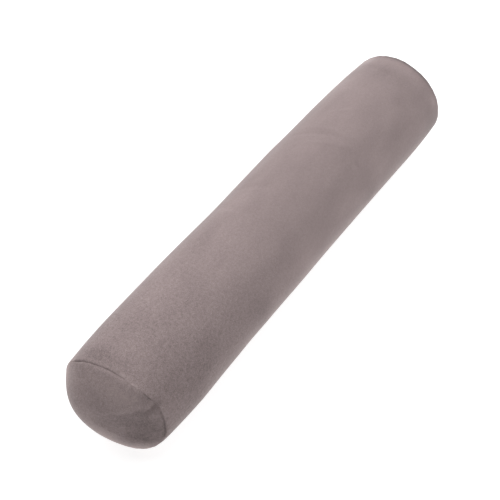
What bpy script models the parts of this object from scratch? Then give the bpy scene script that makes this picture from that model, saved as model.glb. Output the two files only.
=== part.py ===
"""Body pillow: a long tube of plush cloth, closed by a round panel at each end and filled firm.

The pillow lies on its side along X and rests on z = 0, with its origin at the middle of its base.
Each piece that is cut and sewn is one filled solid: the tube, drawn in towards both ends, and the
two end panels with their crowns. The solids stop just short of each other at the sewn seams.
"""

import math
from collections import namedtuple

import bmesh
import bpy
import numpy as np

# Overall sizes, in metres
LENGTH = 1.000
RADIUS = 0.100
PIECE_GAP = 0.0003

# How the filled roll lies: it sinks into a flat spot, and its axis bows a little sideways
SINK = 0.008
FLAT_EDGE = 0.004
BOW = 0.0051

# The sewn seams between the tube and the end panels
SEAM_RADIUS = 0.0952
SEAM_DEPTH = 0.0035
SEAM_WIDTH = 0.0030
SHOULDER_POWER = 2.05
PUCKER_DEPTH = 0.0005
PUCKER_REACH = 0.022
PuckerWave = namedtuple("PuckerWave", "count share phase")
PUCKER_WAVES = (PuckerWave(11, 0.6, 0.7), PuckerWave(7, 0.4, 2.1))

# The tube's own lengthwise seam, low on its back
LONG_SEAM_ANGLE = math.radians(-36)
LONG_SEAM_DEPTH = 0.0015
LONG_SEAM_WIDTH = 0.0022

# Each end: its side along X, the panel's crown above the seam, how far back the shoulder starts,
# how far the crown leans across, the form of the crown, and how the seam line wanders along X
End = namedtuple("End", "name side crown shoulder lean_y lean_z fullness roundness seam_waves")
NEAR = End("near", -1, 0.0463, 0.115, 0.0311, 0.0123, 2.03, 1.00, (0.0036, -0.0004, -0.0046, 0.0019))
FAR = End("far", 1, 0.0344, 0.119, 0.0043, 0.0013, 1.50, 1.18, (0.0063, -0.0126, 0.0, 0.0))

# Where a seam line steps off its smooth curve: end, angle round the tube, spread, and step along X
SeamStep = namedtuple("SeamStep", "end angle spread shift")
SEAM_STEPS = (
    SeamStep("near", 121, 15, 0.0014),
    SeamStep("near", 149, 6, -0.0034),
)

# Uneven filling: place along X, angle, height (negative is a hollow) and reach along X
Swell = namedtuple("Swell", "x angle height reach")
SWELL_SPREAD = math.radians(45)
SWELLS = (
    Swell(-0.34, 208, 0.0009, 0.04),
    Swell(-0.20, 208, -0.0006, 0.03),
    Swell(-0.06, 28, -0.0022, 0.09),
    Swell(-0.04, 208, 0.0006, 0.05),
    Swell(0.13, 28, 0.0008, 0.04),
    Swell(0.28, 28, 0.0009, 0.07),
)

# The pinched fold at the near seam, and the soft crease that runs from it over the end panel.
# Ends of the crease: share of the panel's radius, and angle
PINCH_ANGLE = math.radians(149)
PINCH_DEPTH = 0.0022
PINCH_REACH = 0.011
CREASE_START = (0.97, math.radians(149))
CREASE_END = (0.70, math.radians(182))
CREASE_DEPTH = 0.0022
CREASE_REACH = 0.009
CORE_X = 0.36

# Mesh rows: distances back from a seam, shares of the panel's radius, and the tube's even steps
TUBE_STEPS = (0.0, 0.0013, 0.0030, 0.0055, 0.009, 0.014, 0.021, 0.030, 0.041, 0.054, 0.069)
PANEL_SHARES = (1.0, 0.987, 0.970, 0.945, 0.91, 0.86, 0.79, 0.71, 0.62, 0.52, 0.41, 0.29, 0.16)
TUBE_SPACING = 0.024
EVEN_SIDES = 60
LONG_SEAM_SIDES = (-0.050, -0.020, 0.020, 0.050)
INNER_SHARE = 0.5

SHARP_ANGLE = math.radians(55)

# The plush: its colour on each piece, where the pile leans another way, and its finish
TUBE_COLOUR = (0.330, 0.273, 0.266, 1.0)
NEAR_COLOUR = (0.300, 0.248, 0.242, 1.0)
FAR_COLOUR = (0.315, 0.260, 0.254, 1.0)
PLUSH_ROUGHNESS = 0.92


def side_angles():
    """Angles round the section, even but for extra columns that shape the lengthwise seam."""
    even = np.arange(EVEN_SIDES) * 2 * math.pi / EVEN_SIDES
    extra = LONG_SEAM_ANGLE + np.array(LONG_SEAM_SIDES)
    return np.sort(np.concatenate([even, extra % (2 * math.pi)]))


ANGLES = side_angles()


def turn_between(angle, other):
    """The signed turn from one angle to another, by the short way round."""
    return (angle - other + math.pi) % (2 * math.pi) - math.pi


def seam_pull(distance):
    """How far stitching draws the cloth in at a distance from a seam, as a share of its depth."""
    return np.exp(-distance / SEAM_WIDTH)


def seam_station(end):
    """How far from mid-length the seam runs, for each angle round the section."""
    sway, lift, oval, skew = end.seam_waves
    station = LENGTH / 2 - end.crown + sway * np.cos(ANGLES) + lift * np.sin(ANGLES)
    station = station + oval * np.cos(2 * ANGLES) + skew * np.sin(2 * ANGLES)
    for step in SEAM_STEPS:
        if step.end == end.name:
            turn = turn_between(ANGLES, math.radians(step.angle))
            station = station + step.shift * np.exp(-((turn / math.radians(step.spread)) ** 2))
    return station


def puckers(distance):
    """Small uneven gathers where the tube is eased onto the round panel."""
    height = sum(wave.share * np.cos(wave.count * ANGLES + wave.phase) for wave in PUCKER_WAVES)
    return PUCKER_DEPTH * height * math.exp(-distance / PUCKER_REACH)


def ring(x, radius, shift_y=0.0, shift_z=0.0):
    """One closed row of points round the axis."""
    y = radius * np.cos(ANGLES) + shift_y
    z = radius * np.sin(ANGLES) + shift_z
    return np.stack([np.broadcast_to(x, ANGLES.shape), y, z], axis=-1)


def shoulder_radius(end, distance):
    """The tube's radius at a distance back from its end seam."""
    share = max(0.0, 1 - distance / end.shoulder)
    drawn = (RADIUS - SEAM_RADIUS) * share**SHOULDER_POWER
    return RADIUS - drawn - SEAM_DEPTH * seam_pull(distance)


def long_seam():
    """How deep the lengthwise seam draws the tube in at each angle."""
    arc = np.abs(turn_between(ANGLES, LONG_SEAM_ANGLE)) * RADIUS
    return LONG_SEAM_DEPTH * np.exp(-arc / LONG_SEAM_WIDTH)


def tube_ring(end, distance):
    """The tube's row of points at a distance back from the seam at one end."""
    x = end.side * (seam_station(end) - PIECE_GAP / 2 - distance)
    return ring(x, shoulder_radius(end, distance) + puckers(distance) - long_seam())


def panel_ring(end, share):
    """An end panel's row of points at a share of its radius, from 1 at the seam to 0 at the crown."""
    seam = seam_station(end) + PIECE_GAP / 2
    rise = (1 - share**end.fullness) ** (1 / end.roundness)
    x = end.side * (seam + (LENGTH / 2 - seam) * rise)
    distance = (1 - share) * SEAM_RADIUS
    radius = SEAM_RADIUS * share - SEAM_DEPTH * seam_pull(distance) + share * puckers(distance)
    return ring(x, radius, end.lean_y * (1 - share), end.lean_z * (1 - share))


def inner_ring(end, share, offset):
    """A row on the hidden face at a seam, which spans the section just inside the stitching."""
    station = seam_station(end)
    x = end.side * (station.mean() + (station - station.mean()) * share + offset)
    return ring(x, (SEAM_RADIUS - SEAM_DEPTH) * share)


def swelled(points):
    """Moves points out or in from the axis where the filling is fuller or thinner."""
    angle = np.arctan2(points[:, 2], points[:, 1])
    height = np.zeros(len(points))
    for swell in SWELLS:
        along = (points[:, 0] - swell.x) / swell.reach
        turn = turn_between(angle, math.radians(swell.angle)) / SWELL_SPREAD
        height += swell.height * np.exp(-(along**2) - turn**2)
    moved = points.copy()
    moved[:, 1] += height * np.cos(angle)
    moved[:, 2] += height * np.sin(angle)
    return moved


def panel_point(end, share, angle):
    """A plain point on an end panel, to place a crease by."""
    rise = (1 - share**end.fullness) ** (1 / end.roundness)
    x = LENGTH / 2 - end.crown + end.crown * rise
    y = SEAM_RADIUS * share * math.cos(angle) + end.lean_y * (1 - share)
    z = SEAM_RADIUS * share * math.sin(angle) + end.lean_z * (1 - share)
    return np.array([end.side * x, y, z])


def pinched(points):
    """Draws the cloth in at the pinch and along the crease, towards the filling behind them."""
    core = np.array([NEAR.side * CORE_X, 0.0, 0.0])
    inward = core - points
    inward /= np.linalg.norm(inward, axis=1, keepdims=True)
    pinch = panel_point(NEAR, 1.0, PINCH_ANGLE)
    start = panel_point(NEAR, *CREASE_START)
    along = panel_point(NEAR, *CREASE_END) - start
    place = np.clip((points - start) @ along / (along @ along), 0.0, 1.0)
    from_crease = np.linalg.norm(points - start - place[:, None] * along, axis=1)
    from_pinch = np.linalg.norm(points - pinch, axis=1)
    depth = PINCH_DEPTH * np.exp(-((from_pinch / PINCH_REACH) ** 2))
    fading = CREASE_DEPTH * (1 - place)
    depth += fading * np.exp(-((from_crease / CREASE_REACH) ** 2))
    return points + inward * depth[:, None]


def bowed(points):
    """Bends the straight roll a little sideways at its middle."""
    moved = points.copy()
    moved[:, 1] += BOW * (1 - (2 * points[:, 0] / LENGTH) ** 2)
    return moved


def settled(points):
    """Sets the roll down: what would reach below z = 0 spreads into the flat spot."""
    height = points[:, 2] + RADIUS - SINK
    edge = (height + FLAT_EDGE) ** 2 / (4 * FLAT_EDGE)
    moved = points.copy()
    moved[:, 2] = np.where(height > FLAT_EDGE, height, np.where(height > -FLAT_EDGE, edge, 0.0))
    return moved


def laid(points):
    """A point of the straight roll, where it lies in the finished pillow."""
    return settled(bowed(pinched(swelled(points))))


def tube_rows():
    """The tube's rows from the middle of its near face to the middle of its far face."""
    near = [tube_ring(NEAR, step) for step in TUBE_STEPS]
    far = [tube_ring(FAR, step) for step in reversed(TUBE_STEPS)]
    first, last = near[-1], far[0]
    run = last[:, 0].mean() - first[:, 0].mean()
    spans = round(run / TUBE_SPACING)
    middle = []
    for i in range(1, spans):
        share = i / spans
        x = first[:, 0] * (1 - share) + last[:, 0] * share
        near_radius = shoulder_radius(NEAR, TUBE_STEPS[-1] + run * share)
        far_radius = shoulder_radius(FAR, TUBE_STEPS[-1] + run * (1 - share))
        middle.append(ring(x, min(near_radius, far_radius) - long_seam()))
    inside_near = inner_ring(NEAR, INNER_SHARE, -PIECE_GAP / 2)
    inside_far = inner_ring(FAR, INNER_SHARE, -PIECE_GAP / 2)
    return [inside_near, *near, *middle, *far, inside_far]


def panel_rows(end):
    """An end panel's rows from the middle of its hidden face to its crown."""
    rows = [panel_ring(end, share) for share in PANEL_SHARES]
    return [inner_ring(end, INNER_SHARE, PIECE_GAP / 2), *rows]


def middle_of(row):
    """The point at the middle of a row, which closes the surface there."""
    return row.mean(axis=0)


def crown_of(end):
    """The highest point of an end panel's crown."""
    return np.array([end.side * LENGTH / 2, end.lean_y, end.lean_z])


def closed_points(rows, first, last):
    """All the points of a closed form, laid down: first pole, the rows, last pole."""
    return laid(np.concatenate([first[None], *rows, last[None]]))


def base_middle(forms):
    """The middle of the base of all the forms together."""
    every = np.concatenate(forms)
    middle = (every.min(axis=0) + every.max(axis=0)) / 2
    return np.array([middle[0], middle[1], 0.0])


def skin(name, points, rows):
    """One closed mesh over rows of points, with a pole at each end."""
    sides = len(ANGLES)
    bm = bmesh.new()
    verts = [bm.verts.new(point) for point in points]
    first, last = verts[0], verts[-1]
    loops = [verts[1 + i * sides : 1 + (i + 1) * sides] for i in range(rows)]
    for k in range(sides):
        after = (k + 1) % sides
        bm.faces.new((first, loops[0][after], loops[0][k]))
        bm.faces.new((last, loops[-1][k], loops[-1][after]))
        for low, high in zip(loops, loops[1:]):
            bm.faces.new((low[k], low[after], high[after], high[k]))
    bmesh.ops.recalc_face_normals(bm, faces=bm.faces)
    mesh = bpy.data.meshes.new(name)
    bm.to_mesh(mesh)
    bm.free()
    mesh.shade_smooth()
    mesh.set_sharp_from_angle(angle=SHARP_ANGLE)
    return mesh


def plush(name, colour):
    """Short-pile plush cloth."""
    material = bpy.data.materials.new(name)
    material.use_nodes = True
    shader = material.node_tree.nodes["Principled BSDF"]
    shader.inputs["Base Color"].default_value = colour
    shader.inputs["Roughness"].default_value = PLUSH_ROUGHNESS
    shader.inputs["Metallic"].default_value = 0.0
    material.diffuse_color = colour
    return material


def clear_scene():
    """Takes out whatever objects the open file holds."""
    for old in list(bpy.data.objects):
        bpy.data.objects.remove(old, do_unlink=True)


def main():
    """Makes the three pieces, laid down together over the middle of their base."""
    clear_scene()
    tube = tube_rows()
    near, far = panel_rows(NEAR), panel_rows(FAR)
    forms = {
        "tube": (tube, middle_of(tube[0]), middle_of(tube[-1]), TUBE_COLOUR),
        "near_end_panel": (near, middle_of(near[0]), crown_of(NEAR), NEAR_COLOUR),
        "far_end_panel": (far, middle_of(far[0]), crown_of(FAR), FAR_COLOUR),
    }
    laid_down = {}
    for name, (rows, first, last, _) in forms.items():
        laid_down[name] = closed_points(rows, first, last)
    middle = base_middle(list(laid_down.values()))
    for name, (rows, _, _, colour) in forms.items():
        mesh = skin(name, laid_down[name] - middle, len(rows))
        mesh.materials.append(plush(name + "_plush", colour))
        bpy.context.collection.objects.link(bpy.data.objects.new(name, mesh))


main()
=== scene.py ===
"""Body pillow: its plush cover, filled, sewn in and laid down on a pale floor."""

import math
from collections import namedtuple

import bmesh
import bpy
import numpy as np
from mathutils import Matrix, Vector


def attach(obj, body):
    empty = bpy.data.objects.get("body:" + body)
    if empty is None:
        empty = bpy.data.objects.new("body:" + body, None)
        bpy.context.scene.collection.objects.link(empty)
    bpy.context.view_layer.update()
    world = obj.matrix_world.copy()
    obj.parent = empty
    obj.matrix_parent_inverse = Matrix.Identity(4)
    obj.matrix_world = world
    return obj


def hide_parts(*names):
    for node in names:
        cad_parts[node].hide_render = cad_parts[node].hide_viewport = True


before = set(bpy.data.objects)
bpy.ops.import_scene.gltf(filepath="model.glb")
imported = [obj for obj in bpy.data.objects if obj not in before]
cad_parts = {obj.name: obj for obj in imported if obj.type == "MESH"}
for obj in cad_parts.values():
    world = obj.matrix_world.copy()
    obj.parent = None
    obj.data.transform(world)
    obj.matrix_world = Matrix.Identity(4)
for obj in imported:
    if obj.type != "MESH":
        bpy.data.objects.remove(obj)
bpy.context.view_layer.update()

# Sizes of the roll, in metres, as its pattern gives them, the gap between two pieces at a seam, and
# how far the closed back of each piece dishes in
LENGTH = 1.000
RADIUS = 0.100
SEAM_RADIUS = 0.0952
SHOULDER_POWER = 2.05
PIECE_GAP = 0.0003
BACK_DISH = 10 * PIECE_GAP

# Angles go round the roll from +Y up to +Z. In the tables below they are in degrees, and so are
# the spreads round the roll

# How the filled roll lies: it sinks into a flat spot, and its axis bows a little sideways
SINK = 0.008
FLAT_EDGE = 0.004
BOW = 0.0051

# Each end: its side along X, the panel's crown above the seam, how far back the shoulder starts,
# how far the crown leans across and up, the form of the crown, and how the seam line wanders along
# X, by the cosine and the sine of the angle round the roll and of twice that angle
End = namedtuple("End", "name side crown shoulder lean_y lean_z fullness roundness seam_waves")
NEAR = End("near", -1, 0.0442, 0.115, 0.0311, 0.0123, 2.03, 1.00, (0.0036, -0.0004, -0.0046, 0.0019))
FAR = End("far", 1, 0.0344, 0.119, 0.0043, 0.0013, 2.00, 1.03, (0.0063, -0.0126, 0.0, 0.0))

# Where a seam line steps off its smooth curve: end, angle round the roll, spread, step along X
SeamStep = namedtuple("SeamStep", "end angle spread shift")
SEAM_STEPS = (
    SeamStep("near", 121, 15, 0.0014),
    SeamStep("near", 149, 6, -0.0034),
    SeamStep("near", 225, 50, -0.0021),
)

# Uneven filling: place along X, angle round the roll, height (a hollow is negative), reach along X,
# and spread round the roll
Swell = namedtuple("Swell", "x angle height reach spread")
SWELLS = (
    Swell(-0.34, 208, 0.0009, 0.04, 45),
    Swell(-0.20, 208, -0.0006, 0.03, 45),
    Swell(-0.06, 28, -0.0022, 0.09, 45),
    Swell(-0.04, 208, 0.0006, 0.05, 45),
    Swell(0.13, 28, 0.0008, 0.04, 45),
    Swell(0.28, 28, 0.0009, 0.07, 45),
)

# Soft troughs across the tube where the cloth is a little slack, and the ridges beside them (of
# negative depth): place along X, middle angle, depth, reach along X, spread, and slant along X
Trough = namedtuple("Trough", "x angle depth reach spread slant")
TROUGHS = (
    Trough(-0.068, 64, 0.0006, 0.008, 20, -0.010),
    Trough(-0.004, 72, 0.0006, 0.007, 18, 0.030),
    Trough(0.155, 97, -0.0004, 0.006, 28, 0.060),
    Trough(0.165, 138, 0.0008, 0.006, 4, 0.0),
    Trough(0.172, 86, 0.0006, 0.006, 26, 0.035),
    Trough(0.188, 80, -0.0004, 0.006, 22, 0.019),
    Trough(0.255, 88, -0.0003, 0.006, 16, 0.080),
    Trough(0.330, 72, 0.0004, 0.008, 18, 0.010),
    Trough(0.400, 80, 0.0006, 0.007, 24, -0.020),
)

# Rows and columns of the cover before it is smoothed once: distances from a seam where the cloth
# turns in to the stitching, the even steps beyond them, the even columns, the closer ones that take
# their place beside the lengthwise seam, and the share of a panel's radius where its rows end
SEAM_ROWS = (0.0, 0.0007, 0.0015, 0.0026, 0.0042, 0.0065, 0.0095, 0.0130)
TUBE_STEP = 0.0072
PANEL_STEP = 0.0038
EVEN_COLUMNS = 148
LONG_SEAM_ANGLE = math.radians(-36)
LONG_SEAM_COLUMNS = (-0.040, -0.020, -0.008, 0.0, 0.008, 0.020, 0.040)
BESIDE_LONG_SEAM = 0.060
SMALLEST_SHARE = 0.03

# The filling: its push on the cover, for how many frames and how finely, how far a point may move
# and the least move that counts, and how far from the seams the stitching holds the cloth and in how
# many steps it lets go
FILL_PRESSURE = 4.0
FILL_FRAMES = 20
FILL_QUALITY = 6
FILL_CAP = 0.005
NO_MOVE = 1e-9
HELD_NEAR_SEAM = 0.006
FREE_FROM_SEAM = 0.022
HELD_STEPS = 10

# Sewing: how deep and wide each seam draws the plush in, where the stitching pulls harder or
# less (of negative depth), the lengthwise seam, and the small gathers beside the end seams
SEAM_DEPTH = 0.0016
SEAM_WIDTH = 0.0009
Stitching = namedtuple("Stitching", "end angle spread depth width")
STITCHINGS = (
    Stitching("near", 28, 14, -0.0009, 0.0009),
    Stitching("near", 50, 12, 0.0008, 0.0009),
    Stitching("near", 74, 14, -0.0003, 0.0009),
    Stitching("near", 119, 14, -0.0019, 0.0009),
    Stitching("near", 152, 7, -0.0011, 0.0009),
    Stitching("near", 204, 30, 0.0020, 0.0040),
    Stitching("far", 40, 30, 0.0012, 0.0030),
    Stitching("far", 200, 40, 0.0016, 0.0035),
)
LONG_SEAM_DEPTH = 0.0016
LONG_SEAM_WIDTH = 0.0020
Gather = namedtuple("Gather", "count height phase reach")
GATHERS = (
    Gather(11, 0.00030, 0.7, 0.022),
    Gather(7, 0.00020, 2.1, 0.022),
    Gather(29, 0.00022, 1.3, 0.010),
    Gather(43, 0.00014, 4.0, 0.007),
)

# The pinched fold at the near seam, and the crease that runs from it over the end panel. Each end
# of the crease: share of the panel's radius, and angle. Both draw the cloth towards a point on the
# roll's axis, and the last value is that point's distance from mid-length
PINCH_ANGLE = math.radians(148)
PINCH_DEPTH = 0.0024
PINCH_REACH = 0.008
CREASE_START = (0.97, math.radians(148))
CREASE_END = (0.74, math.radians(165))
CREASE_DEPTH = 0.0032
CREASE_REACH = 0.0060
CORE_X = 0.36

# Where a panel's crown is rounder: end, angle, how much, and its spread round the panel
RoundSide = namedtuple("RoundSide", "end angle extra spread")
ROUND_SIDES = (RoundSide("near", 98, 0.80, 46),)

# Where a panel's cloth is drawn hollow inside its seam: end, angle, depth, spread round the panel,
# and how far inside the seam it is deepest. The cloth moves as much along X as towards the axis
Hollow = namedtuple("Hollow", "end angle depth spread inside")
HOLLOWS = (Hollow("near", 182, 0.0060, 24, 0.016),)
HOLLOW_SLANT = 0.7

# Patches painted lighter, or darker (negative), on the tube: partly the nap lying brushed, partly
# painted light and shade. Place along X, angle round the roll, reach along X, spread round the roll,
# and shade
TubeNapAndPaintedLight = namedtuple("TubeNapAndPaintedLight", "x angle reach spread shade")
TUBE_NAP_AND_PAINTED_LIGHT = (
    TubeNapAndPaintedLight(-0.446, 72, 0.019, 42, -0.58),
    TubeNapAndPaintedLight(-0.40, 44, 0.034, 8, -0.22),
    TubeNapAndPaintedLight(-0.38, 168, 0.080, 32, -0.45),
    TubeNapAndPaintedLight(-0.31, 146, 0.025, 12, -0.30),
    TubeNapAndPaintedLight(-0.20, 148, 0.080, 16, -0.25),
    TubeNapAndPaintedLight(-0.22, 110, 0.030, 14, 0.30),
    TubeNapAndPaintedLight(-0.18, 166, 0.030, 12, -0.30),
    TubeNapAndPaintedLight(-0.175, 188, 0.022, 9, -0.30),
    TubeNapAndPaintedLight(-0.10, 130, 0.030, 9, 0.30),
    TubeNapAndPaintedLight(-0.05, 66, 0.035, 18, 0.12),
    TubeNapAndPaintedLight(-0.04, 172, 0.035, 18, 0.50),
    TubeNapAndPaintedLight(0.09, 160, 0.060, 20, 0.20),
    TubeNapAndPaintedLight(0.18, 184, 0.020, 10, -0.40),
    TubeNapAndPaintedLight(0.22, 162, 0.030, 16, 0.35),
    TubeNapAndPaintedLight(0.35, 124, 0.020, 11, -0.35),
    TubeNapAndPaintedLight(0.38, 46, 0.022, 14, -0.35),
    TubeNapAndPaintedLight(0.40, 95, 0.030, 45, -0.40),
    TubeNapAndPaintedLight(0.43, 190, 0.030, 20, -0.60),
    TubeNapAndPaintedLight(0.44, 156, 0.012, 8, 0.50),
    TubeNapAndPaintedLight(0.44, 48, 0.018, 12, 0.40),
    # Painted shade along the tube's left rim, and a painted highlight along its right rim where the
    # floor's light falls
    TubeNapAndPaintedLight(0.05, 38, 0.400, 8, -0.35),
    TubeNapAndPaintedLight(0.02, 196, 0.280, 12, 0.45),
)

# The same on the near end panel, partly nap and partly painted light and shade: share of its radius,
# angle, reach, and shade
PanelNapAndPaintedLight = namedtuple("PanelNapAndPaintedLight", "share angle reach shade")
PANEL_NAP_AND_PAINTED_LIGHT = (
    # Painted shade in the panel's lower right corner, below the pinch and the crease
    PanelNapAndPaintedLight(0.80, 168, 0.020, -0.35),
    PanelNapAndPaintedLight(0.62, 164, 0.020, -0.40),
    PanelNapAndPaintedLight(0.82, 154, 0.010, -0.60),
    PanelNapAndPaintedLight(0.44, 152, 0.022, -0.40),
    PanelNapAndPaintedLight(0.86, 192, 0.030, -0.65),
    PanelNapAndPaintedLight(0.68, 214, 0.030, -0.45),
    PanelNapAndPaintedLight(0.74, 228, 0.026, -0.55),
    PanelNapAndPaintedLight(0.92, 132, 0.011, 0.40),
    PanelNapAndPaintedLight(0.96, 154, 0.008, 0.30),
    # Painted rim light along the panel's upper left edge
    PanelNapAndPaintedLight(0.93, 22, 0.030, 1.80),
    PanelNapAndPaintedLight(0.22, 350, 0.024, 0.40),
    PanelNapAndPaintedLight(0.88, 85, 0.022, 0.40),
    PanelNapAndPaintedLight(0.90, 116, 0.028, 0.75),
    # Painted rim light along the panel's lower left edge
    PanelNapAndPaintedLight(0.80, 262, 0.045, 1.10),
    PanelNapAndPaintedLight(0.60, 262, 0.040, 0.45),
    PanelNapAndPaintedLight(0.96, 234, 0.020, 1.00),
)

# Painted shade deep in the stitching, where the seam's groove lies in shade: end, angle, spread
# round the roll, width, and shade
SeamShade = namedtuple("SeamShade", "end angle spread width shade")
SEAM_SHADES = (
    SeamShade("near", 52, 10, 0.0008, -1.0),
    SeamShade("near", 80, 20, 0.0008, -0.1),
    SeamShade("near", 135, 6, 0.0008, -0.8),
    SeamShade("near", 180, 20, 0.0010, -1.2),
    SeamShade("far", 95, 65, 0.0050, -2.2),
)

# The plush: the colour of its tips and of the shade between them, on the tube and on the panels,
# how coarse the nap shows at the near end and at the far end, and where along X that changes
TUBE_TIPS = (0.418, 0.334, 0.330, 1.0)
TUBE_ROOTS = (0.286, 0.228, 0.226, 1.0)
PANEL_TIPS = (0.386, 0.309, 0.305, 1.0)
PANEL_ROOTS = (0.264, 0.211, 0.209, 1.0)
NEAR_COARSENESS = 1.5
FAR_COARSENESS = 0.5
COARSE_UP_TO = -0.42
SMOOTH_FROM = 0.05

# The pile's noises: their finest detail, how much the brushed patches stretch along X, their middle
# value, the darkest share of tips against roots, and the clumps' height against the tufts'
FINE_DETAIL = 2.0
BROAD_DETAIL = 3.0
BRUSHED_STRETCH = (0.45, 1.0, 1.0)
MIDDLE = 0.5
DARKEST_SHARE = -1.6
CLUMP_HEIGHT = 0.8

# The studio: a pale floor that glows by itself, a pale backdrop that gives no light, and round
# softboxes, each by its heading and height over the floor in degrees
WHITE = (1.0, 1.0, 1.0, 1.0)
HALF_FLOOR = 12.0
FLOOR_COLOUR = (0.40, 0.40, 0.40, 1.0)
FLOOR_GLOW = 0.86
BACKDROP_COLOUR = (0.86, 0.86, 0.86, 1.0)
SOFTBOX_SIZE = 3.0
SOFTBOX_DISTANCE = 5.0
Softbox = namedtuple("Softbox", "name heading height watts")
SOFTBOXES = (
    Softbox("back_light", 0, 25, 160),
    Softbox("low_back_light", 45, 6, 64),
    Softbox("top_light", 0, 88, 60),
    Softbox("left_light", 112, 52, 102),
    Softbox("right_light", 315, 52, 53),
)

# The camera: its heading and tilt, how far it stands from the roll's middle, its focal length in
# pixels, the pixel where the middle of the roll's axis falls, its sensor's width in millimetres, and
# how far the middle of the base lies from the roll's own axis
IMAGE = 500
HEADING = math.radians(33.6403)
TILT = math.radians(46.2360)
DISTANCE = 2.0200
FOCAL_PIXELS = 1133.3
MIDDLE_PIXEL = (273.51, 231.22)
SENSOR = 36.0
AXIS_SHIFT = 0.0037247


def turn_between(angle, other):
    """The signed turn from one angle to another, by the short way round."""
    return (angle - other + math.pi) % (2 * math.pi) - math.pi


def spreads_from(place, angles):
    """How many times its spread each angle lies from the place of a detail round the roll."""
    return turn_between(angles, math.radians(place.angle)) / math.radians(place.spread)


def column_angles():
    """Angles of the cover's columns, closer together at the lengthwise seam."""
    even = np.arange(EVEN_COLUMNS) * 2 * math.pi / EVEN_COLUMNS
    beside_seam = np.abs(turn_between(even, LONG_SEAM_ANGLE)) < BESIDE_LONG_SEAM
    extra = LONG_SEAM_ANGLE + np.array(LONG_SEAM_COLUMNS)
    return np.sort(np.concatenate([even[~beside_seam], extra % (2 * math.pi)]))


ANGLES = column_angles()
Row = namedtuple("Row", "points near_way far_way piece")


def seam_station(end, angles):
    """How far from mid-length the seam runs, at angles round the roll."""
    sway, lift, oval, skew = end.seam_waves
    station = LENGTH / 2 - end.crown + sway * np.cos(angles) + lift * np.sin(angles)
    station = station + oval * np.cos(2 * angles) + skew * np.sin(2 * angles)
    for step in SEAM_STEPS:
        if step.end == end.name:
            station = station + step.shift * np.exp(-(spreads_from(step, angles) ** 2))
    return station


def shoulder_radius(end, distance):
    """The tube's radius at a distance back from its end seam, before it is sewn in."""
    share = max(0.0, 1 - distance / end.shoulder)
    return RADIUS - (RADIUS - SEAM_RADIUS) * share**SHOULDER_POWER


def row_distances(reach, even_step):
    """Distances of rows from a seam: close at the stitching, then even, up to the reach."""
    steps = list(SEAM_ROWS)
    count = max(1, round((reach - steps[-1]) / even_step))
    gap = (reach - steps[-1]) / count
    return steps + [steps[-1] + gap * (i + 1) for i in range(count)]


def ring(x, radius):
    """One closed row of points round the axis."""
    return np.stack([x, radius * np.cos(ANGLES), radius * np.sin(ANGLES)], axis=-1)


def panel_points(end, share, angles):
    """Points of an end panel at a share of its radius, from 1 at the seam to 0 at the crown."""
    roundness = end.roundness
    for side in ROUND_SIDES:
        if side.end == end.name:
            roundness = roundness + side.extra * np.exp(-(spreads_from(side, angles) ** 4))
    rise = (1 - share**end.fullness) ** (1 / roundness)
    drawn = 0.0
    for hollow in HOLLOWS:
        if hollow.end == end.name:
            depth = hollow.depth * np.exp(-(spreads_from(hollow, angles) ** 4))
            inside = (1 - share) * SEAM_RADIUS / hollow.inside
            drawn = drawn + HOLLOW_SLANT * depth * inside * math.exp(1 - inside)
    seam = seam_station(end, angles)
    x = end.side * (seam + (LENGTH / 2 - seam) * rise - drawn)
    radius = SEAM_RADIUS * share - drawn
    y = radius * np.cos(angles) + end.lean_y * (1 - share)
    z = radius * np.sin(angles) + end.lean_z * (1 - share)
    return np.stack([x, y, z], axis=-1)


def panel_rows(end, piece):
    """An end panel's rows, from just inside its seam to its crown."""
    rows = []
    for distance in row_distances(SEAM_RADIUS * (1 - SMALLEST_SHARE), PANEL_STEP)[1:]:
        points = panel_points(end, 1 - distance / SEAM_RADIUS, ANGLES)
        ways = (distance, LENGTH) if end.side < 0 else (LENGTH, distance)
        rows.append(Row(points, *ways, piece))
    return rows


def tube_rows(piece):
    """The tube's rows, from its near seam to its far seam."""
    near_seam, far_seam = -seam_station(NEAR, ANGLES), seam_station(FAR, ANGLES)
    run = far_seam.mean() - near_seam.mean()
    half = row_distances(run / 2, TUBE_STEP)
    rows = []
    for way in half + [run - way for way in reversed(half[:-1])]:
        share = way / run
        x = near_seam * (1 - share) + far_seam * share
        radius = min(shoulder_radius(NEAR, way), shoulder_radius(FAR, run - way))
        rows.append(Row(ring(x, radius), way, run - way, piece))
    return rows


def crown_of(end):
    """The highest point of an end panel's crown."""
    return np.array([[end.side * LENGTH / 2, end.lean_y, end.lean_z]])


def angles_round(points):
    """The angle of each point round the roll's axis."""
    return np.arctan2(points[:, 2], points[:, 1])


def pushed_out(points, angle, height):
    """Moves points straight out from the roll's axis, each by its own height."""
    moved = points.copy()
    moved[:, 1] += height * np.cos(angle)
    moved[:, 2] += height * np.sin(angle)
    return moved


def swelled(points):
    """Moves points out or in from the axis where the filling is fuller or thinner."""
    angle = angles_round(points)
    height = np.zeros(len(points))
    for swell in SWELLS:
        along = (points[:, 0] - swell.x) / swell.reach
        height += swell.height * np.exp(-(along**2) - spreads_from(swell, angle) ** 2)
    return pushed_out(points, angle, height)


def point_layer(mesh, name, values):
    """Keeps one number for each point of a mesh under a name."""
    layer = mesh.attributes.new(name, "FLOAT", "POINT")
    layer.data.foreach_set("value", np.asarray(values, np.float32))


def layer_values(mesh, name):
    """Reads the numbers that a mesh keeps under a name."""
    values = np.empty(len(mesh.vertices), np.float32)
    mesh.attributes[name].data.foreach_get("value", values)
    return values.astype(np.float64)


def mesh_points(mesh):
    """All the points of a mesh."""
    flat = np.empty(len(mesh.vertices) * 3, np.float32)
    mesh.vertices.foreach_get("co", flat)
    return flat.reshape(-1, 3).astype(np.float64)


def move_points(mesh, points):
    """Puts the points of a mesh where they are given."""
    mesh.vertices.foreach_set("co", points.astype(np.float32).ravel())
    mesh.update()


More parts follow.
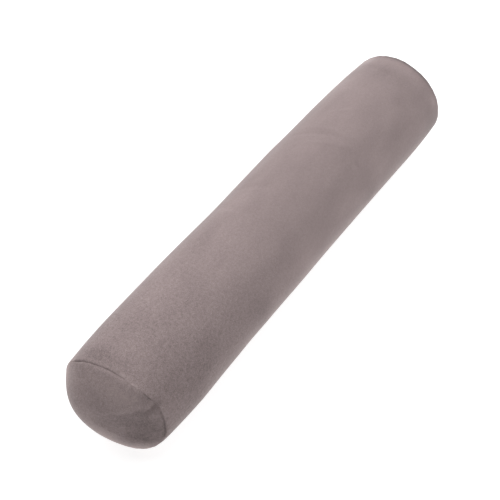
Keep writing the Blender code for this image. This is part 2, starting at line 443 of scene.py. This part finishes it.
def whole_cover(rows):
    """The whole cover as one closed mesh of even quads. Each face knows its piece of cloth."""
    sides = len(ANGLES)
    points = np.concatenate([crown_of(NEAR), *[row.points for row in rows], crown_of(FAR)])
    last = len(points) - 1
    faces, pieces = [], []
    for k in range(sides):
        after = (k + 1) % sides
        faces.append((0, 1 + after, 1 + k))
        pieces.append(rows[0].piece)
        faces.append((last, last - sides + k, last - sides + after))
        pieces.append(rows[-1].piece)
        for i in range(len(rows) - 1):
            low, high = 1 + i * sides, 1 + (i + 1) * sides
            faces.append((low + k, low + after, high + after, high + k))
            pieces.append(max(rows[i].piece, rows[i + 1].piece))
    mesh = bpy.data.meshes.new("cover")
    mesh.from_pydata(swelled(points).tolist(), [], faces)
    near_ways = np.repeat([row.near_way for row in rows], sides)
    far_ways = np.repeat([row.far_way for row in rows], sides)
    point_layer(mesh, "near_way", [SEAM_RADIUS, *near_ways, LENGTH])
    point_layer(mesh, "far_way", [LENGTH, *far_ways, SEAM_RADIUS])
    layer = mesh.attributes.new("piece", "INT", "FACE")
    layer.data.foreach_set("value", pieces)
    cover = bpy.data.objects.new("cover", mesh)
    bpy.context.collection.objects.link(cover)
    return cover


def as_seen(thing):
    """An object as its modifiers leave it."""
    return thing.evaluated_get(bpy.context.evaluated_depsgraph_get())


def filled(cover):
    """Lets the filling push the cloth out between its seams, and caps how far any point moves."""
    mesh = cover.data
    start = mesh_points(mesh)
    way = np.minimum(layer_values(mesh, "near_way"), layer_values(mesh, "far_way"))
    free = np.clip((way - HELD_NEAR_SEAM) / (FREE_FROM_SEAM - HELD_NEAR_SEAM), 0, 1)
    held = cover.vertex_groups.new(name="held")
    for step in range(HELD_STEPS + 1):
        at_step = np.nonzero(np.round((1 - free) * HELD_STEPS) == step)[0]
        held.add(at_step.tolist(), step / HELD_STEPS, "REPLACE")
    cloth = cover.modifiers.new("filling", "CLOTH")
    cloth.settings.quality = FILL_QUALITY
    cloth.settings.use_pressure = True
    cloth.settings.uniform_pressure_force = FILL_PRESSURE
    cloth.settings.effector_weights.gravity = 0
    cloth.settings.vertex_group_mass = held.name
    cloth.collision_settings.use_collision = False
    cloth.point_cache.frame_start = 1
    cloth.point_cache.frame_end = FILL_FRAMES
    for number in range(1, FILL_FRAMES + 1):
        bpy.context.scene.frame_set(number)
    move = mesh_points(as_seen(cover).data) - start
    cover.modifiers.remove(cloth)
    bpy.context.scene.frame_set(1)
    length = np.linalg.norm(move, axis=1, keepdims=True)
    move *= np.minimum(1, FILL_CAP / np.maximum(length, NO_MOVE))
    move_points(mesh, start + move)


def smoothed(cover):
    """The cover's mesh after one round of subdivision."""
    smoothing = cover.modifiers.new("smoothing", "SUBSURF")
    smoothing.levels = smoothing.render_levels = 1
    mesh = bpy.data.meshes.new_from_object(as_seen(cover))
    cover.modifiers.remove(smoothing)
    return mesh


def sewn(points, near_way, far_way):
    """Draws the plush in along its seams, with small gathers beside them and soft troughs."""
    angle = angles_round(points)
    way = np.minimum(near_way, far_way)
    arc = np.abs(turn_between(angle, LONG_SEAM_ANGLE)) * RADIUS
    on_tube = near_way + far_way < LENGTH
    pull = SEAM_DEPTH * np.exp(-way / SEAM_WIDTH)
    for stitching in STITCHINGS:
        own_way = near_way if stitching.end == "near" else far_way
        turn = spreads_from(stitching, angle)
        pull += stitching.depth * np.exp(-(turn**2) - own_way / stitching.width)
    pull += np.where(on_tube, LONG_SEAM_DEPTH * np.exp(-arc / LONG_SEAM_WIDTH), 0.0)
    for gather in GATHERS:
        wave = np.cos(gather.count * angle + gather.phase)
        pull -= gather.height * wave * np.exp(-way / gather.reach)
    for trough in TROUGHS:
        turn = turn_between(angle, math.radians(trough.angle))
        along = (points[:, 0] - trough.x - trough.slant * turn) / trough.reach
        pull += trough.depth * np.exp(-(along**2) - spreads_from(trough, angle) ** 2)
    return pushed_out(points, angle, -pull)


def pinched(points):
    """Draws the cloth in at the pinch and along the crease, towards the filling behind them."""
    core = np.array([NEAR.side * CORE_X, 0.0, 0.0])
    inward = core - points
    inward /= np.linalg.norm(inward, axis=1, keepdims=True)
    pinch = panel_points(NEAR, 1.0, PINCH_ANGLE)
    start = panel_points(NEAR, *CREASE_START)
    along = panel_points(NEAR, *CREASE_END) - start
    place = np.clip((points - start) @ along / (along @ along), 0.0, 1.0)
    from_crease = np.linalg.norm(points - start - place[:, None] * along, axis=1)
    from_pinch = np.linalg.norm(points - pinch, axis=1)
    depth = PINCH_DEPTH * np.exp(-((from_pinch / PINCH_REACH) ** 2))
    depth += CREASE_DEPTH * (1 - place) * np.exp(-((from_crease / CREASE_REACH) ** 2))
    return points + inward * depth[:, None]


def nap_and_painted_light(points, near_way, far_way):
    """How light or dark each point is painted: partly by the nap's brushed patches, partly by
    painted light and shade, and by painted shade deep in the stitching.
    """
    angle = angles_round(points)
    shade = np.zeros(len(points))
    for patch in TUBE_NAP_AND_PAINTED_LIGHT:
        along = (points[:, 0] - patch.x) / patch.reach
        shade += patch.shade * np.exp(-(along**2) - spreads_from(patch, angle) ** 2)
    for patch in PANEL_NAP_AND_PAINTED_LIGHT:
        middle = panel_points(NEAR, patch.share, math.radians(patch.angle))
        away = np.linalg.norm(points - middle, axis=1) / patch.reach
        shade += patch.shade * np.exp(-(away**2))
    for line in SEAM_SHADES:
        way = near_way if line.end == "near" else far_way
        shade += line.shade * np.exp(-(spreads_from(line, angle) ** 2) - way / line.width)
    return shade


def laid_down(points):
    """Bows the roll a little, and sets it down so that its underside spreads into a flat spot."""
    moved = points.copy()
    moved[:, 1] += BOW * (1 - (2 * points[:, 0] / LENGTH) ** 2)
    height = moved[:, 2] + RADIUS - SINK
    edge = (height + FLAT_EDGE) ** 2 / (4 * FLAT_EDGE)
    moved[:, 2] = np.where(height > FLAT_EDGE, height, np.where(height > -FLAT_EDGE, edge, 0.0))
    return moved


def cut_piece(mesh, piece, name, inward):
    """One piece of cloth cut from the whole cover, and closed behind its seams."""
    bm = bmesh.new()
    bm.from_mesh(mesh)
    mark = bm.faces.layers.int["piece"]
    others = [face for face in bm.faces if face[mark] != piece]
    bmesh.ops.delete(bm, geom=others, context="FACES")
    rims = [edge for edge in bm.edges if edge.is_boundary]
    for vert in {vert for edge in rims for vert in edge.verts}:
        vert.co.x -= math.copysign(inward * PIECE_GAP / 2, vert.co.x)
    backs = bmesh.ops.holes_fill(bm, edges=rims, sides=0)["faces"]
    middles = bmesh.ops.poke(bm, faces=backs)["verts"]
    for vert in middles:
        vert.co.x -= math.copysign(inward * BACK_DISH, vert.co.x)
    bmesh.ops.recalc_face_normals(bm, faces=bm.faces)
    for face in bm.faces:
        face.smooth = True
    for edge in rims:
        edge.smooth = False
    cut = bpy.data.meshes.new(name)
    bm.to_mesh(cut)
    bm.free()
    for spare in ("near_way", "far_way", "piece"):
        cut.attributes.remove(cut.attributes[spare])
    thing = bpy.data.objects.new(name, cut)
    bpy.context.collection.objects.link(thing)
    return thing


def sew_pillow():
    """Makes the whole cover, fills it, sews it in, and cuts it into its three pieces."""
    tube, near_panel, far_panel = 0, 1, 2
    near = list(reversed(panel_rows(NEAR, near_panel)))
    cover = whole_cover(near + tube_rows(tube) + panel_rows(FAR, far_panel))
    filled(cover)
    mesh = smoothed(cover)
    bpy.data.objects.remove(cover, do_unlink=True)
    near_way, far_way = layer_values(mesh, "near_way"), layer_values(mesh, "far_way")
    points = pinched(sewn(mesh_points(mesh), near_way, far_way))
    # The nap's patches with painted light and shade, kept on the points for the plush
    point_layer(mesh, "nap_and_painted_light", nap_and_painted_light(points, near_way, far_way))
    points = laid_down(points)
    middle = (points.min(axis=0) + points.max(axis=0)) / 2
    move_points(mesh, points - np.array([middle[0], middle[1], 0.0]))
    pieces = (
        cut_piece(mesh, tube, "tube_plush", 1),
        cut_piece(mesh, near_panel, "near_panel_plush", -1),
        cut_piece(mesh, far_panel, "far_panel_plush", -1),
    )
    for thing, node in zip(pieces, ("tube", "near_end_panel", "far_end_panel")):
        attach(thing, "root")
        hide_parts(node)
    return pieces


def add_node(tree, kind, **settings):
    """Adds a node to a tree with its settings."""
    made = tree.nodes.new(kind)
    for name, value in settings.items():
        setattr(made, name, value)
    return made


def grain(tree, where, scale, detail):
    """A noise texture, with the sockets that bring its place and its scale."""
    made = add_node(tree, "ShaderNodeTexNoise")
    made.inputs["Detail"].default_value = detail
    tree.links.new(where, made.inputs["Vector"])
    tree.links.new(scale, made.inputs["Scale"])
    return made.outputs["Fac"]


def maths(tree, operation, *terms):
    """A maths node over numbers or sockets."""
    made = add_node(tree, "ShaderNodeMath", operation=operation)
    for socket, term in zip(made.inputs, terms):
        if isinstance(term, (int, float)):
            socket.default_value = term
        else:
            tree.links.new(term, socket)
    return made.outputs[0]


def pile_group():
    """Shader group: short plush pile, as single tufts, small clumps and brushed patches."""
    tree = bpy.data.node_groups.new("plush_pile", "ShaderNodeTree")
    face = tree.interface
    for name in ("Tips", "Roots"):
        face.new_socket(name=name, in_out="INPUT", socket_type="NodeSocketColor")
    numbers = (
        "Shade", "Tufts per metre", "Clumps per metre", "Patches per metre", "Tuft contrast",
        "Clump contrast", "Patch contrast", "Near coarseness", "Far coarseness",
    )
    for name in numbers:
        face.new_socket(name=name, in_out="INPUT", socket_type="NodeSocketFloat")
    face.new_socket(name="Colour", in_out="OUTPUT", socket_type="NodeSocketColor")
    face.new_socket(name="Height", in_out="OUTPUT", socket_type="NodeSocketFloat")
    given = add_node(tree, "NodeGroupInput").outputs
    place = add_node(tree, "ShaderNodeTexCoord").outputs["Object"]
    brushed = add_node(tree, "ShaderNodeMapping")
    brushed.inputs["Scale"].default_value = BRUSHED_STRETCH
    tree.links.new(place, brushed.inputs["Vector"])
    tufts = grain(tree, place, given["Tufts per metre"], FINE_DETAIL)
    clumps = grain(tree, place, given["Clumps per metre"], FINE_DETAIL)
    patches = grain(tree, brushed.outputs["Vector"], given["Patches per metre"], BROAD_DETAIL)
    coarseness = add_node(tree, "ShaderNodeMapRange", interpolation_type="SMOOTHSTEP")
    coarseness.inputs["From Min"].default_value = COARSE_UP_TO
    coarseness.inputs["From Max"].default_value = SMOOTH_FROM
    along = add_node(tree, "ShaderNodeSeparateXYZ")
    tree.links.new(place, along.inputs["Vector"])
    tree.links.new(along.outputs["X"], coarseness.inputs["Value"])
    tree.links.new(given["Near coarseness"], coarseness.inputs["To Min"])
    tree.links.new(given["Far coarseness"], coarseness.inputs["To Max"])
    coarse = coarseness.outputs["Result"]
    fine = 0.0
    for noise, contrast in ((tufts, "Tuft contrast"), (clumps, "Clump contrast")):
        wave = maths(tree, "SUBTRACT", noise, MIDDLE)
        fine = maths(tree, "MULTIPLY_ADD", wave, given[contrast], fine)
    wave = maths(tree, "SUBTRACT", patches, MIDDLE)
    broad = maths(tree, "MULTIPLY_ADD", wave, given["Patch contrast"], MIDDLE)
    share = maths(tree, "MULTIPLY_ADD", fine, coarse, maths(tree, "ADD", broad, given["Shade"]))
    share = maths(tree, "MAXIMUM", share, DARKEST_SHARE)
    blend = add_node(tree, "ShaderNodeMix", data_type="RGBA", clamp_factor=False)
    tree.links.new(share, blend.inputs["Factor"])
    tree.links.new(given["Roots"], blend.inputs["A"])
    tree.links.new(given["Tips"], blend.inputs["B"])
    raised = maths(tree, "MULTIPLY_ADD", clumps, CLUMP_HEIGHT, tufts)
    height = maths(tree, "MULTIPLY", raised, coarse)
    out = add_node(tree, "NodeGroupOutput")
    tree.links.new(blend.outputs["Result"], out.inputs["Colour"])
    tree.links.new(height, out.inputs["Height"])
    return tree


def plush(name, pile, tips, roots):
    """Short-pile plush: its pile's colour and nap, with painted shade in the seam and painted light
    and shade in patches, and a soft sheen.
    """
    material = bpy.data.materials.new(name)
    material.use_nodes = True
    tree = material.node_tree
    shader = tree.nodes["Principled BSDF"]
    shader.inputs["Roughness"].default_value = 0.90
    shader.inputs["Specular IOR Level"].default_value = 0.15
    shader.inputs["Sheen Weight"].default_value = 0.3
    shader.inputs["Sheen Roughness"].default_value = 0.30
    shader.inputs["Sheen Tint"].default_value = (1.0, 0.96, 0.95, 1.0)
    nap = add_node(tree, "ShaderNodeGroup", node_tree=pile)
    nap.inputs["Tips"].default_value = tips
    nap.inputs["Roots"].default_value = roots
    nap.inputs["Tufts per metre"].default_value = 620
    nap.inputs["Clumps per metre"].default_value = 210
    nap.inputs["Patches per metre"].default_value = 22
    nap.inputs["Tuft contrast"].default_value = 1.6
    nap.inputs["Clump contrast"].default_value = 0.9
    nap.inputs["Patch contrast"].default_value = 0.9
    nap.inputs["Near coarseness"].default_value = NEAR_COARSENESS
    nap.inputs["Far coarseness"].default_value = FAR_COARSENESS
    # The nap's patches with painted light and shade, read from the points, lighten or darken the
    # pile
    shade = add_node(tree, "ShaderNodeAttribute", attribute_name="nap_and_painted_light")
    tree.links.new(shade.outputs["Fac"], nap.inputs["Shade"])
    bump = add_node(tree, "ShaderNodeBump")
    bump.inputs["Strength"].default_value = 0.5
    bump.inputs["Distance"].default_value = 0.0006
    tree.links.new(nap.outputs["Height"], bump.inputs["Height"])
    tree.links.new(nap.outputs["Colour"], shader.inputs["Base Color"])
    tree.links.new(bump.outputs["Normal"], shader.inputs["Normal"])
    return material


def direction(heading, height):
    """A level heading and a height above the floor, both as angles, as a direction."""
    level = math.cos(height)
    return Vector((math.cos(heading) * level, math.sin(heading) * level, math.sin(height)))


def softbox(light):
    """A round soft light that faces the pillow."""
    lamp = bpy.data.lights.new(light.name, "AREA")
    lamp.shape = "DISK"
    lamp.size = SOFTBOX_SIZE
    lamp.energy = light.watts
    thing = bpy.data.objects.new(light.name, lamp)
    away = direction(math.radians(light.heading), math.radians(light.height))
    thing.location = away * SOFTBOX_DISTANCE
    thing.rotation_euler = away.to_track_quat("Z", "Y").to_euler()
    thing.visible_camera = False
    bpy.context.collection.objects.link(thing)


def studio():
    """A plain pale floor, a pale backdrop and soft white light all round."""
    mesh = bpy.data.meshes.new("studio_floor")
    sides = ((-1, -1), (1, -1), (1, 1), (-1, 1))
    corners = [(x * HALF_FLOOR, y * HALF_FLOOR, 0) for x, y in sides]
    mesh.from_pydata(corners, [], [(0, 1, 2, 3)])
    floor = bpy.data.objects.new("studio_floor", mesh)
    bpy.context.collection.objects.link(floor)
    paint = bpy.data.materials.new("pale_floor")
    paint.use_nodes = True
    shader = paint.node_tree.nodes["Principled BSDF"]
    shader.inputs["Base Color"].default_value = FLOOR_COLOUR
    shader.inputs["Emission Color"].default_value = WHITE
    shader.inputs["Emission Strength"].default_value = FLOOR_GLOW
    shader.inputs["Roughness"].default_value = 1.0
    shader.inputs["Specular IOR Level"].default_value = 0.0
    mesh.materials.append(paint)
    world = bpy.data.worlds.new("studio_light")
    world.use_nodes = True
    backdrop = world.node_tree.nodes["Background"]
    backdrop.inputs["Color"].default_value = BACKDROP_COLOUR
    seen = add_node(world.node_tree, "ShaderNodeLightPath").outputs["Is Camera Ray"]
    world.node_tree.links.new(seen, backdrop.inputs["Strength"])
    bpy.context.scene.world = world
    for light in SOFTBOXES:
        softbox(light)


def camera():
    """The camera, at the photograph's place and angle."""
    forward = -direction(HEADING + math.pi, TILT)
    right = Vector((math.sin(HEADING), -math.cos(HEADING), 0.0))
    up = right.cross(forward)
    aside = (MIDDLE_PIXEL[0] - IMAGE / 2) / FOCAL_PIXELS
    above = (IMAGE / 2 - MIDDLE_PIXEL[1]) / FOCAL_PIXELS
    middle = Vector((0.0, -AXIS_SHIFT, RADIUS - SINK))
    place = middle - (forward + aside * right + above * up) * DISTANCE
    lens = bpy.data.cameras.new("camera")
    lens.sensor_width = SENSOR
    lens.lens = FOCAL_PIXELS / IMAGE * SENSOR
    thing = bpy.data.objects.new("camera", lens)
    turn = Matrix((right, up, -forward)).transposed().to_4x4()
    thing.matrix_world = Matrix.Translation(place) @ turn
    bpy.context.collection.objects.link(thing)
    bpy.context.scene.camera = thing
    bpy.context.scene.view_settings.view_transform = "Standard"


tube, near_panel, far_panel = sew_pillow()
pile = pile_group()
tube.data.materials.append(plush("taupe_plush", pile, TUBE_TIPS, TUBE_ROOTS))
panel_plush = plush("panel_plush", pile, PANEL_TIPS, PANEL_ROOTS)
near_panel.data.materials.append(panel_plush)
far_panel.data.materials.append(panel_plush)
studio()
camera()
